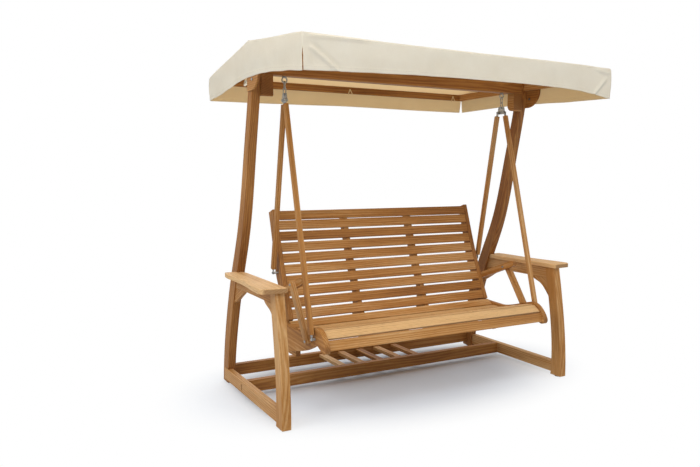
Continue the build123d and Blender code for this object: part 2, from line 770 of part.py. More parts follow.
def strap(bolt, rod_bolt_far, x_middle):
    """The steel tongue in one end of a rod, with its hole at the given bolt."""
    inner_end = further(rod_bolt_far, bolt, -(strap_out + strap_in - strap_width / 2))
    with BuildPart() as tongue:
        with BuildSketch(Plane.YZ.offset(x_middle - strap_thickness / 2)):
            with Locations(between(bolt, inner_end, 0.5)):
                SlotCenterToCenter(
                    math.dist(bolt, inner_end), strap_width, rotation=slope_angle(bolt, inner_end)
                )
            with Locations(bolt):
                Circle(hole_diameter / 2, mode=Mode.SUBTRACT)
        extrude(amount=strap_thickness)
    return tongue


rod_ends = []
for rod_name, x_middle, upper, lower in (
    ("front_rod", front_rod_x, front_rod_top, front_rod_bolt),
    ("rear_rod", rear_rod_x, rear_rod_top, rear_rod_bolt),
):
    upper_strap = strap(upper, lower, x_middle)
    lower_strap = strap(lower, upper, x_middle)
    rod_ends += [upper_strap, lower_strap]
    with BuildPart() as rod:
        add(bar(
            further(lower, upper, -strap_out), further(upper, lower, -strap_out),
            rod_size, x_middle - rod_size / 2, rod_size,
        ).part)
        add(upper_strap.part, mode=Mode.SUBTRACT)
        add(lower_strap.part, mode=Mode.SUBTRACT)
    export_pair(rod, rod_name)

with BuildPart() as rod_straps:
    for tongue in rod_ends:
        add(tongue.part)
    mirror(about=Plane.YZ)
export(rod_straps, "rod_straps")


# ================================================================ bench
def slat_corners(start, width):
    """A slat's section: its face lies on the sitting line, its edges square to that line."""
    end = start + width
    return (beside(start, 0), beside(end, 0), beside(end, slat_thickness), beside(start, slat_thickness))


back_layout = [slat_start]
back_layout += [second_slat_start + number * back_pitch for number in range(back_slat_count - 1)]

with BuildPart() as back_slats:
    with BuildSketch(Plane.YZ.offset(-stile_inner)) as sections:
        for start in back_layout:
            with BuildLine():
                Polyline(*slat_corners(start, back_slat_width), close=True)
            make_face()
        fillet(sections.vertices(), radius=slat_edge)
    extrude(amount=2 * stile_inner)
export(back_slats, "back_slats")

seat_layout = [(seat_start + number * seat_pitch, seat_slat_width) for number in range(seat_slat_count)]
seat_layout += [(nose_start, nose_slat_width), (front_start, front_slat_width)]
with BuildPart() as seat_slats:
    with BuildSketch(Plane.YZ.offset(-stile_outer)) as sections:
        for start, width in seat_layout:
            with BuildLine():
                Polyline(*slat_corners(start, width), close=True)
            make_face()
        fillet(sections.vertices(), radius=slat_edge)
    extrude(amount=2 * stile_outer)
export(seat_slats, "seat_slats")

stile_heel = (rail_rear[0] + stile_overhang, stile_bottom)
arm_direction = slope_angle(bench_arm_front, bench_arm_rear)
arm_screw = further(bench_arm_front, bench_arm_rear, -bench_arm_screw)
strut_top = further(bench_arm_rear, bench_arm_front, -strut_top_in)


def stile_outline():
    front = Spline([beside(along, -stile_proud) for along in evenly(0, back_end, 8)])
    depth_change = stile_foot_depth - stile_top_depth
    rear_points = []
    for share, deepened in ((0, 0), (0.2, 0.1), (0.4, 0.4), (0.6, 0.8), (0.8, 1)):
        rear_points.append(beside(share * back_end, stile_top_depth + deepened * depth_change))
    rear_points += [(rail_rear[0], rail_rear[1] + stile_corner_rise), stile_heel]
    rear = Spline(*rear_points)
    behind_seat = beside(back_end, slat_thickness + slat_backing)
    Line(front @ 0, rear @ 0)
    Polyline(front @ 1, behind_seat, (stile_heel[0] - stile_foot_length, stile_bottom), rear @ 1)


with BuildPart() as back_stile:
    add(across(stile_inner, stile_thickness, stile_outline).part)
    with BuildSketch(Plane.YZ.offset(stile_inner)):
        with Locations(rear_rod_bolt):
            Circle(hole_diameter / 2)
    extrude(amount=stile_thickness, mode=Mode.SUBTRACT)
    with BuildSketch(Plane.YZ.offset(stile_outer)):
        with Locations(arm_screw):
            Circle(hole_diameter / 2)
    extrude(amount=-screw_depth, mode=Mode.SUBTRACT)
export_pair(back_stile, "back_stile")


# the underside that a seat rail and a batten share, from behind the nose to its straight part
hook = [(rail_flat_front[0] + y, rail_flat_front[1] + z) for y, z in hook_steps]
hook.append(rail_flat_front)


def seat_rail_outline():
    nose = beside(front_end, -rail_proud)
    stations = evenly(seat_start + crest_start, front_end - nose_end, 10)
    crest = [beside(along, -rail_proud) for along in stations]
    chin = [(nose[0] + y, nose[1] + z) for y, z in chin_steps]
    curve = Spline(rail_rear, *rail_crest, *crest, nose, *chin, *hook)
    Polyline(curve @ 1, rail_flat_rear, (rail_rear[0], rail_rear_bottom), rail_rear)


with BuildPart() as seat_rail:
    add(across(stile_outer, seat_rail_thickness, seat_rail_outline, ease=0).part)
    with BuildSketch(Plane.YZ.offset(stile_outer)):
        with Locations(front_rod_bolt):
            Circle(hole_diameter / 2)
    extrude(amount=seat_rail_thickness, mode=Mode.SUBTRACT)
    with BuildSketch(Plane.YZ.offset(rail_outer)):
        with Locations(strut_foot):
            Circle(hole_diameter / 2)
    extrude(amount=-screw_depth, mode=Mode.SUBTRACT)
export_pair(seat_rail, "seat_rail")


def batten_outline():
    under = Spline(*hook)
    seat_side = slat_thickness - batten_seat
    stations = evenly(slat_start, front_end - nose_end, 26)
    lip = [beside(front_end - batten_short, seat_side)]
    front = Spline([beside(along, seat_side) for along in stations] + lip)
    Line(front @ 1, under @ 0)
    stations = evenly(slat_start, 0.8 * back_end, 5)
    rear = Spline([beside(along, slat_thickness + batten_depth) for along in stations] + batten_heel)
    Line(rear @ 0, front @ 0)
    Polyline(rear @ 1, rail_flat_rear, under @ 1)


with BuildPart() as batten:
    add(across(batten_x - batten_thickness / 2, batten_thickness, batten_outline, ease=0).part)
    add(back_slats.part, mode=Mode.SUBTRACT)
    add(seat_slats.part, mode=Mode.SUBTRACT)
export_pair(batten, "batten")

with BuildPart() as seat_blocks:
    share = (seat_block_front - rail_flat_front[0]) / (rail_flat_rear[0] - rail_flat_front[0])
    under_front = between(rail_flat_front, rail_flat_rear, share)[1]
    block_height = seat_block_rise + seat_block_drop
    with BuildSketch(Plane.YZ.offset(stile_outer)):
        with Locations((
            seat_block_front + seat_block_length / 2, under_front - seat_block_drop + block_height / 2
        )):
            Rectangle(seat_block_length, block_height)
    extrude(amount=-seat_block_thickness)
    chamfer(seat_blocks.edges().group_by(Axis.Z)[0], length=edge_chamfer)
    mirror(about=Plane.YZ)
export(seat_blocks, "seat_blocks")

with BuildPart() as bench_arm:
    with BuildSketch(Plane.YZ.offset(stile_outer)):
        with Locations(between(bench_arm_front, bench_arm_rear, 0.5)):
            SlotOverall(
                math.dist(bench_arm_front, bench_arm_rear), bench_arm_height, rotation=arm_direction
            )
        with Locations(arm_screw, strut_top):
            Circle(hole_diameter / 2, mode=Mode.SUBTRACT)
    extrude(amount=seat_rail_thickness)
export_pair(bench_arm, "bench_arm")

with BuildPart() as strut:
    with BuildSketch(Plane.YZ.offset(rail_outer)):
        with Locations(between(strut_top, strut_foot, 0.5)):
            SlotCenterToCenter(
                math.dist(strut_top, strut_foot), strut_width, rotation=slope_angle(strut_top, strut_foot)
            )
        with Locations(strut_top, strut_foot):
            Circle(hole_diameter / 2, mode=Mode.SUBTRACT)
    extrude(amount=strut_thickness)
export_pair(strut, "strut")


# ================================================================ fasteners
def turned(point, *steps):
    """A turned fastener along X through a point (Y, Z): steps of (x start, x end, diameter)."""
    with BuildPart() as fastener:
        for x_start, x_end, diameter in steps:
            with BuildSketch(Plane.YZ.offset(x_start)):
                with Locations(point):
                    Circle(diameter / 2)
            extrude(amount=x_end - x_start)
    return fastener


front_outer = front_rod_x + strap_thickness / 2
front_inner = front_rod_x - strap_thickness / 2
rear_outer = rear_rod_x + strap_thickness / 2
rear_inner = rear_rod_x - strap_thickness / 2

with BuildPart() as bench_bolts:
    add(turned(
        front_rod_top,
        (plate_inner - bolt_head_height, plate_inner, bolt_head),
        (plate_inner, front_outer, bolt_diameter),
        (plate_outer, front_inner, sleeve_diameter),
        (front_outer, front_outer + bolt_head_height, bolt_head),
    ).part)
    add(turned(
        rear_rod_top,
        (rear_inner - bolt_head_height, rear_inner, bolt_head),
        (rear_inner, plate_outer, bolt_diameter),
        (rear_outer, plate_inner, sleeve_diameter),
        (plate_outer, plate_outer + bolt_head_height, bolt_head),
    ).part)
    add(turned(
        front_rod_bolt,
        (stile_outer - bolt_head_height, stile_outer, bolt_head),
        (stile_outer, front_outer, bolt_diameter),
        (rail_outer, front_inner, sleeve_diameter),
        (front_outer, front_outer + bolt_head_height, bolt_head),
    ).part)
    add(turned(
        rear_rod_bolt,
        (stile_inner - bolt_head_height, stile_inner, bolt_head),
        (stile_inner, rear_outer, bolt_diameter),
        (stile_outer, rear_inner, sleeve_diameter),
        (rear_outer, rear_outer + bolt_head_height, bolt_head),
    ).part)
    add(turned(
        strut_top,
        (stile_outer - bolt_head_height, stile_outer, bolt_head),
        (stile_outer, rail_outer + strut_thickness, bolt_diameter),
        (rail_outer + strut_thickness, rail_outer + strut_thickness + bolt_head_height, bolt_head),
    ).part)
    add(turned(
        strut_foot,
        (rail_outer - screw_depth, rail_outer + strut_thickness, bolt_diameter),
        (rail_outer + strut_thickness, rail_outer + strut_thickness + bolt_head_height, bolt_head),
    ).part)
    add(turned(
        arm_screw,
        (stile_outer - screw_depth, rail_outer, bolt_diameter),
        (rail_outer, rail_outer + bolt_head_height, bolt_head),
    ).part)
    mirror(about=Plane.YZ)
export(bench_bolts, "bench_bolts")

with BuildPart() as frame_bolts:
    add(turned(
        (arm_bolt_y, beam_bottom - arm_bolt_drop),
        (post_outer - bolt_head_height, post_outer, bolt_head),
        (post_outer, frame_half_length, bolt_diameter),
        (frame_half_length, frame_half_length + bolt_head_height, bolt_head),
    ).part)
    add(turned(
        (0, arm_screw_z),
        (post_outer - screw_depth, frame_half_length - bolt_head_height, bolt_diameter),
        (frame_half_length - bolt_head_height, frame_half_length, bolt_head),
    ).part)
    mirror(about=Plane.YZ)
export(frame_bolts, "frame_bolts")
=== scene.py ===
import bpy
import bmesh
import math
import numpy
from mathutils import Matrix, Vector, noise


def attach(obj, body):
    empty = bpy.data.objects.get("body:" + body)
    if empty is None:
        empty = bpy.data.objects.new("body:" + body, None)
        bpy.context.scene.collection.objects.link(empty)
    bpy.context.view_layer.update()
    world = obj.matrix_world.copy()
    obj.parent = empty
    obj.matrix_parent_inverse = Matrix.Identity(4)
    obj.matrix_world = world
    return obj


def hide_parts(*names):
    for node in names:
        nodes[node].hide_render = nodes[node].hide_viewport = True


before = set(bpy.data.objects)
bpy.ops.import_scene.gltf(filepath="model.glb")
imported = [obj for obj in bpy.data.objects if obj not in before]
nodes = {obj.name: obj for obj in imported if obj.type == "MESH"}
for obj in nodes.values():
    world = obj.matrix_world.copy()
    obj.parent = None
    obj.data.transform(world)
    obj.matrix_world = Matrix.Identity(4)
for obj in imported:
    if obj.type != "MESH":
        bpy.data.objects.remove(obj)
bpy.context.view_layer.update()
print("swing frame loaded:", len(nodes), "nodes")


def tint(red, green, blue):
    def linear(part):
        part = part / 255
        return part / 12.92 if part <= 0.04045 else ((part + 0.055) / 1.055) ** 2.4
    return tuple(linear(part) for part in (red, green, blue)) + (1.0,)


class Flow:  # a shader value that takes part in Python expressions
    def __init__(self, shader, socket):
        self.shader = shader
        self.socket = socket

    def maths(self, operation, *others):
        return self.shader.make("ShaderNodeMath", {"operation": operation},
                                dict(enumerate((self,) + others)))

    def __add__(self, other):
        return self.maths("ADD", other)

    def __radd__(self, other):
        return self.maths("ADD", other)

    def __sub__(self, other):
        return self.maths("SUBTRACT", other)

    def __rsub__(self, other):
        return self.shader.make("ShaderNodeMath", {"operation": "SUBTRACT"}, {0: other, 1: self})

    def __mul__(self, other):
        return self.maths("MULTIPLY", other)

    def __rmul__(self, other):
        return self.maths("MULTIPLY", other)

    def __truediv__(self, other):
        return self.maths("DIVIDE", other)

    def __pow__(self, other):
        return self.maths("POWER", other)


class Shader:  # the nodes of one material or of the world
    def __init__(self, owner):
        self.owner = owner
        owner.use_nodes = True
        self.tree = owner.node_tree
        self.tree.nodes.clear()

    def make(self, kind, settings=None, inputs=None, output=0):
        node = self.tree.nodes.new(kind)
        for key, value in (settings or {}).items():
            if key == "stops":
                ramp = node.color_ramp.elements
                while len(ramp) < len(value):
                    ramp.new(1.0)
                for element, (place, colour) in zip(ramp, value):
                    element.position = place
                    element.color = colour
            elif key == "stopBlend":
                node.color_ramp.interpolation = value
            else:
                setattr(node, key, value)
        for key, value in (inputs or {}).items():
            if isinstance(value, Flow):
                self.tree.links.new(value.socket, node.inputs[key])
            else:
                node.inputs[key].default_value = value
        return Flow(self, node.outputs[output]) if len(node.outputs) else node

    def coordinates(self, kind="Object"):
        return self.make("ShaderNodeTexCoord", output=kind)

    def ray(self, kind):
        return self.make("ShaderNodeLightPath", output=kind)

    def dot(self, place, axis):
        return self.make("ShaderNodeVectorMath", {"operation": "DOT_PRODUCT"},
                         {0: place, 1: axis}, "Value")

    def join(self, x, y, z):
        return self.make("ShaderNodeCombineXYZ", None, {0: x, 1: y, 2: z})

    def parts(self, place):
        node = self.make("ShaderNodeSeparateXYZ", None, {0: place}).socket.node
        return [Flow(self, socket) for socket in node.outputs]

    def noise(self, place, scale, detail=3.0, rough=0.5, twist=0.0):
        return self.make("ShaderNodeTexNoise", {"noise_dimensions": "3D"},
                         {"Vector": place, "Scale": scale, "Detail": detail,
                          "Roughness": rough, "Distortion": twist})

    def ramp(self, value, *stops, blend="LINEAR"):
        return self.make("ShaderNodeValToRGB", {"stops": stops, "stopBlend": blend}, {0: value})

    def spread(self, value, low, high, newLow=0.0, newHigh=1.0, shape="LINEAR"):
        return self.make("ShaderNodeMapRange", {"clamp": True, "interpolation_type": shape},
                         {"Value": value, "From Min": low, "From Max": high,
                          "To Min": newLow, "To Max": newHigh})

    def mix(self, share, first, second, how="MIX"):
        return self.make("ShaderNodeMix", {"data_type": "RGBA", "blend_type": how},
                         {0: share, 6: first, 7: second}, 2)

    def bump(self, height, strength, distance, under=None):
        links = {"Height": height, "Strength": strength, "Distance": distance}
        if under is not None:
            links["Normal"] = under
        return self.make("ShaderNodeBump", None, links)

    def surface(self, colour, gloss, normal, specular=0.5, metallic=0.0):
        return self.make("ShaderNodeBsdfPrincipled", None,
                         {"Base Color": colour, "Roughness": gloss, "Normal": normal,
                          "Specular IOR Level": specular, "Metallic": metallic})

    def finish(self, surface, kind="ShaderNodeOutputMaterial"):
        self.make(kind, None, {"Surface": surface})
        return self.owner


def newShader(name):
    return Shader(bpy.data.materials.new(name))


def newObject(name, data):
    piece = bpy.data.objects.new(name, data)
    bpy.context.scene.collection.objects.link(piece)
    return piece


def paintNode(name, paint):
    nodes[name].data.materials.clear()
    nodes[name].data.materials.append(paint)


# teak: one material per node, with the grain along it
teak = {
    "light": (214, 174, 122), "middle": (170, 117, 58), "dark": (118, 70, 28),
    "lightFrom": 0.80, "middleFrom": 0.47, "darkFrom": 0.18,
    "streak": (96, 57, 24), "streaks": 0.55, "pores": 0.35,
    "endGrain": (108, 66, 30), "ends": 0.6,
    "ringPitch": 0.011, "figureStretch": 0.09, "figureScale": 9.0,
    "fibreSteps": (3.0, 190.0), "cloudSteps": (1.6, 7.0), "poreSteps": (28.0, 520.0),  # along, across
    "figureShare": 0.55, "ringShare": 0.18, "fibreShare": 0.42, "cloudShare": 0.35,
    "toneShare": 0.5, "shareBase": -0.26,
    "seedShift": 0.37, "toneSpread": 0.85, "toneJitter": 0.2, "jitterStep": 0.618,
    "roughness": 0.60, "specular": 0.25, "bump": 0.5, "grainDepth": 0.00035,
}


def grainFrame(axis):
    along = Vector(axis).normalized()
    side = along.cross(Vector((0.31, 0.17, 0.93)) if abs(along.z) < 0.9 else Vector((0.9, 0.4, 0.1)))
    side.normalize()
    return along, side, along.cross(side)


def boardTones(seed, edges, tones):  # one ramp stop per board: its tone and its shift
    stops = []
    for number, edge in enumerate([0.0] + edges):
        grey = 0.5 + tones[number] if tones else ((seed * 0.37 + number * 0.6180339) % 1.0)
        stops.append((edge, (grey, (grey * 7.31 + number * 0.271) % 1.0, 0.5, 1.0)))
    return stops


def teakMaterial(name, axis, seed, boards=None, tone=0.0):
    shader = newShader(name)
    place = shader.coordinates()
    along, side, up = (shader.dot(place, direction) for direction in grainFrame(axis))
    shift = teak["seedShift"] * seed
    toneWithPaintedLight = tone
    if boards:
        direction, low, high, edges, tones = boards
        line = (shader.dot(place, direction) - low) / (high - low)
        pick = shader.ramp(line, *boardTones(seed, edges, tones), blend="CONSTANT")
        red, green = shader.parts(pick)[:2]
        shift = green * 9.0 + shift
        toneWithPaintedLight = (red - 0.5) * teak["toneSpread"] + tone

    def strands(steps, detail, rough):
        lengthways, across = steps
        return shader.noise(shader.join(along * lengthways + shift, side * across, up * across),
                            1.0, detail, rough)

    wide = shader.join(along * teak["figureStretch"] + shift, side + shift, up + shift)
    figure = shader.noise(wide, teak["figureScale"], 3.0, 0.55, 0.6)
    rings = (side * 0.75 + up * 0.66 + figure * 0.05 + shift) / teak["ringPitch"]
    ring = shader.spread(rings.maths("FRACT").maths("SUBTRACT", 0.5).maths("ABSOLUTE"), 0.0, 0.5)
    fibre = strands(teak["fibreSteps"], 4.0, 0.6)
    cloud = strands(teak["cloudSteps"], 2.0, 0.5)
    pores = strands(teak["poreSteps"], 1.0, 0.4)
    mark = figure * teak["figureShare"] + ring * teak["ringShare"] + fibre * teak["fibreShare"]
    # the tone shifts the teak colour: the wood's own tone, with painted light and painted shade from the
    # part and board tone tables
    mark = mark + cloud * teak["cloudShare"] + teak["shareBase"] + toneWithPaintedLight * teak["toneShare"]
    colour = shader.ramp(mark, (teak["darkFrom"], tint(*teak["dark"])),
                         (teak["middleFrom"], tint(*teak["middle"])),
                         (teak["lightFrom"], tint(*teak["light"])))
    streaks = shader.spread(fibre * 0.6 + figure * 0.5, 0.62, 0.78) * teak["streaks"]
    colour = shader.mix(streaks, colour, tint(*teak["streak"]))
    dots = shader.spread(pores, 0.60, 0.72) * teak["pores"]
    colour = shader.mix(dots, colour, tint(*teak["streak"]))
    facing = shader.dot(shader.coordinates("Normal"), grainFrame(axis)[0]).maths("ABSOLUTE")
    ends = shader.spread(facing, 0.75, 0.95) * teak["ends"]
    colour = shader.mix(ends, colour, tint(*teak["endGrain"]))
    gloss = fibre * 0.14 + dots * 0.3 + ends * 0.12 + (teak["roughness"] - 0.07)
    normal = shader.bump(fibre * 0.6 + ring * 0.25 - dots, teak["bump"], teak["grainDepth"])
    return shader.finish(shader.surface(colour, gloss, normal, teak["specular"]))


def looseParts(mesh):  # the corner places of each separate board in a mesh
    weld = 0.00005  # corners this close are one
    keys = {}
    owner = []
    for vertex in mesh.vertices:
        key = tuple(round(value / weld) for value in vertex.co)
        owner.append(keys.setdefault(key, len(keys)))
    parent = list(range(len(keys)))

    def root(number):
        while parent[number] != number:
            parent[number] = parent[parent[number]]
            number = parent[number]
        return number

    for face in mesh.polygons:
        first = root(owner[face.vertices[0]])
        for corner in face.vertices[1:]:
            parent[root(owner[corner])] = first
    groups = {}
    for number, vertex in enumerate(mesh.vertices):
        groups.setdefault(root(owner[number]), []).append(vertex.co)
    return list(groups.values())


def boardEdges(name, direction, tones):  # where one board ends and the next begins
    direction = Vector(direction).normalized()
    spans = []
    for group in looseParts(nodes[name].data):
        reach = [direction.dot(point) for point in group]
        spans.append((min(reach), max(reach)))
    spans.sort()
    low, high = spans[0][0], max(span[1] for span in spans)
    edges = [((one[1] + two[0]) / 2 - low) / (high - low) for one, two in zip(spans, spans[1:])]
    return direction, low, high, edges, tones


def longAxis(name):
    points = numpy.array([vertex.co for vertex in nodes[name].data.vertices])
    points = numpy.unique(points.round(4), axis=0)
    points = points - points.mean(0)
    return Vector(numpy.linalg.svd(points, full_matrices=False)[2][0])


straightWood = {  # which way the grain runs
    "width": ["mid_cross_rail", "rear_cross_rail", "main_beam", "canopy_front_rail",
              "canopy_rear_rail", "ridge_rail"],
    "depth": ["side_rail", "arm_rail", "armrest", "canopy_rail", "canopy_arm", "corner_block",
              "seat_blocks"],
    "own": ["front_leg", "rear_post", "front_bracket", "rear_bracket", "front_rod",
            "rear_rod", "seat_rail", "back_stile", "bench_arm", "strut"],
}
woodToneAndPaintedLight = {  # lighter above nought, darker below: partly the wood's own tone, partly painted light and shade, lighter on the front legs and armrest tops that the lamps reach, darker on the posts, beam, canopy rails, cross rails and back stiles in the shade of the canopy and the seat
    "front_leg": 0.16, "rear_post": -0.27, "armrest": 0.5, "main_beam": -0.25,
    "canopy_front_rail": -0.15, "canopy_rear_rail": -0.35, "rear_cross_rail": -0.2,
    "mid_cross_rail": -0.4, "side_rail": 0.15, "corner_block": -0.1, "back_stile": -0.25,
}
boardSets = {  # grain, the way across the boards, and each board's tone: the wood's own tone, with painted light on the seat slats' lit tops and painted shade on the top back slat under the canopy
    "back_slats": ((1, 0, 0), (0, 0.25, 1),
                   (0.04, -0.22, 0.12, -0.06, 0.2, -0.14, 0.02, -0.3, 0.1, -0.3)),
    "seat_slats": ((1, 0, 0), (0, -1, -0.45), (0.3, 0.7, 0.35, 0.8, 0.6, 0.85, 0.65, 0.85, 0.05)),
    "base_slats": ((0, 1, 0), (1, 0, 0), None),
}
battens = {"names": ("left_batten", "right_batten"), "grain": (0, 0.5, 0.86), "tone": -0.1}
seeds = {"straight": 1, "boards": 40, "battens": 60}  # each material's pattern starts elsewhere
woodNames = []


def paintWood(name, kind, grain, boards=None, tone=0.0):
    seed = seeds[kind] + len(woodNames)
    if kind == "straight":
        tone += teak["toneJitter"] * (((seed * teak["jitterStep"]) % 1.0) - 0.5)
    paintNode(name, teakMaterial(f"teak {name}", grain, seed, boards, tone))
    woodNames.append(name)


for name in sorted(nodes):
    plain = name.replace("left_", "").replace("right_", "")
    for way, group in straightWood.items():
        if plain in group:
            grain = {"width": (1, 0, 0), "depth": (0, 1, 0)}.get(way) or longAxis(name)
            paintWood(name, "straight", grain, tone=woodToneAndPaintedLight.get(plain, 0.0))
for name, (grain, across, tones) in boardSets.items():
    paintWood(name, "boards", grain, boardEdges(name, across, tones))
for name in battens["names"]:
    paintWood(name, "battens", battens["grain"], tone=battens["tone"])
print("teak on", len(woodNames), "nodes")


# metal and plastic
steel = {
    "bright": (188, 190, 188), "dull": (128, 130, 130), "stain": (92, 82, 70), "stains": 0.6,
    "spangle": 0.006, "cloudScale": 60.0, "stainScale": 110.0, "metallic": 0.85, "roughness": 0.42,
    "bump": 0.3, "depth": 0.0003,
    "nodes": ("left_chain", "right_chain", "left_hanger_plate", "right_hanger_plate",
              "frame_bolts", "eye_bolts", "rod_straps", "bench_bolts"),
}


def steelMaterial():
    shader = newShader("galvanised steel")
    place = shader.coordinates()
    spangle = shader.make("ShaderNodeTexVoronoi", {"feature": "F1"},
                          {"Vector": place, "Scale": 1 / steel["spangle"]}, "Color")
    grey = shader.parts(spangle)[0]
    cloud = shader.noise(place, steel["cloudScale"], 4.0, 0.6)
    colour = shader.ramp(grey * 0.5 + cloud * 0.5, (0.25, tint(*steel["dull"])),
                         (0.7, tint(*steel["bright"])))
    stain = shader.noise(place, steel["stainScale"], 3.0, 0.7)
    stain = shader.spread(stain, 0.58, 0.74) * steel["stains"]
    colour = shader.mix(stain, colour, tint(*steel["stain"]))
    gloss = grey * 0.12 + stain * 0.3 + (steel["roughness"] - 0.05)
    normal = shader.bump(cloud + grey * 0.3, steel["bump"], steel["depth"])
    return shader.finish(shader.surface(colour, gloss, normal, metallic=steel["metallic"]))


glide = {
    "colour": (58, 52, 46), "worn": (96, 90, 82), "scuffScale": 160.0, "roughness": 0.55,
    "bump": 0.3, "depth": 0.0002,
}


def glideMaterial():
    shader = newShader("glide plastic")
    scuff = shader.noise(shader.coordinates(), glide["scuffScale"], 4.0, 0.7)
    colour = shader.ramp(scuff, (0.35, tint(*glide["colour"])), (0.75, tint(*glide["worn"])))
    gloss = scuff * 0.25 + (glide["roughness"] - 0.12)
    normal = shader.bump(scuff, glide["bump"], glide["depth"])
    return shader.finish(shader.surface(colour, gloss, normal))


steelPaint = steelMaterial()
for name in steel["nodes"]:
    paintNode(name, steelPaint)
paintNode("glide_feet", glideMaterial())
print("metal and plastic done")


# canvas, its tapes and its thread
canvas = {
    "colour": (231, 228, 214), "shade": (218, 212, 194), "thread": 0.0009,
    "through": 0.26, "throughColour": (244, 226, 196),  # the light that shines through
    "inside": 0.27, "insideTint": (242, 226, 192), "middleHeight": 1.75,  # the inner side: more light through it, and a warmer tint that is painted glow of the light shining through the cloth
    "roughness": 0.88, "specular": 0.2, "creaseDepth": 0.006, "weaveDepth": 0.0004,
    "cloudScale": 5.0, "creaseScale": 26.0, "dustScale": 70.0, "slubSteps": (30.0, 900.0),
    "cloudShare": 0.55, "slubShare": 0.16, "weaveShare": 0.10, "dustShare": 0.08,
}


def canvasMaterial(name, values):
    shader = newShader(name)
    across, down = shader.parts(shader.make("ShaderNodeUVMap", {"uv_map": "clothMap"}))[:2]
    place = shader.coordinates()
    pitch = math.pi / values["thread"]
    warp = (across * pitch).maths("SINE").maths("ABSOLUTE")
    weft = (down * pitch).maths("SINE").maths("ABSOLUTE")
    check = (across * (pitch / 2)).maths("SINE") * (down * (pitch / 2)).maths("SINE")
    over = shader.spread(check, -0.2, 0.2)
    weave = warp * over + weft * (1 - over)
    long, short = values["slubSteps"]  # thick places in the yarn, both ways
    slub = shader.noise(shader.join(across * long, down * short, 0.0), 1.0, 2.0, 0.5)
    slubDown = shader.noise(shader.join(across * short, down * long, 3.0), 1.0, 2.0, 0.5)
    cloud = shader.noise(place, values["cloudScale"], 4.0, 0.6)
    crease = shader.noise(place, values["creaseScale"], 3.0, 0.55, 0.8)
    dust = shader.noise(place, values["dustScale"], 3.0, 0.7)
    mark = cloud * values["cloudShare"] + slub * values["slubShare"] + slubDown * values["slubShare"]
    mark = mark + weave * values["weaveShare"] + dust * values["dustShare"]
    colour = shader.ramp(mark, (0.28, tint(*values["shade"])), (0.66, tint(*values["colour"])))
    x, y, z = shader.parts(place)
    facing = shader.dot(shader.coordinates("Normal"), shader.join(x, y, z - values["middleHeight"]))
    inner = shader.spread(facing, -0.01, 0.01, 1.0, 0.0)
    # painted glow: the inner side's colour is multiplied by a warmer tint for light shining through the
    # cloth
    colour = shader.mix(inner, colour, tint(*values["insideTint"]), "MULTIPLY")
    coarse = shader.bump(crease * 0.6 + cloud, 0.35, values["creaseDepth"])
    normal = shader.bump(weave + slub * 0.5 + slubDown * 0.5, 0.45, values["weaveDepth"], coarse)
    gloss = weave * -0.08 + dust * 0.06 + values["roughness"]
    front = shader.surface(colour, gloss, normal, values["specular"])
    if not values["through"]:
        return shader.finish(front)
    glow = shader.make("ShaderNodeBsdfTranslucent", None, {0: tint(*values["throughColour"])})
    both = shader.make("ShaderNodeMixShader", None,
                       {0: inner * values["inside"] + values["through"], 1: front, 2: glow})
    return shader.finish(both)


tapeCloth = dict(canvas, colour=(232, 222, 200), shade=(206, 194, 168), thread=0.0007, through=0.0)
threadCloth = dict(canvas, colour=(205, 196, 178), shade=(176, 166, 146), thread=0.0004, through=0.0)
canvasPaint = canvasMaterial("canvas", canvas)
tapePaint = canvasMaterial("cotton tape", tapeCloth)
threadPaint = canvasMaterial("sewing thread", threadCloth)

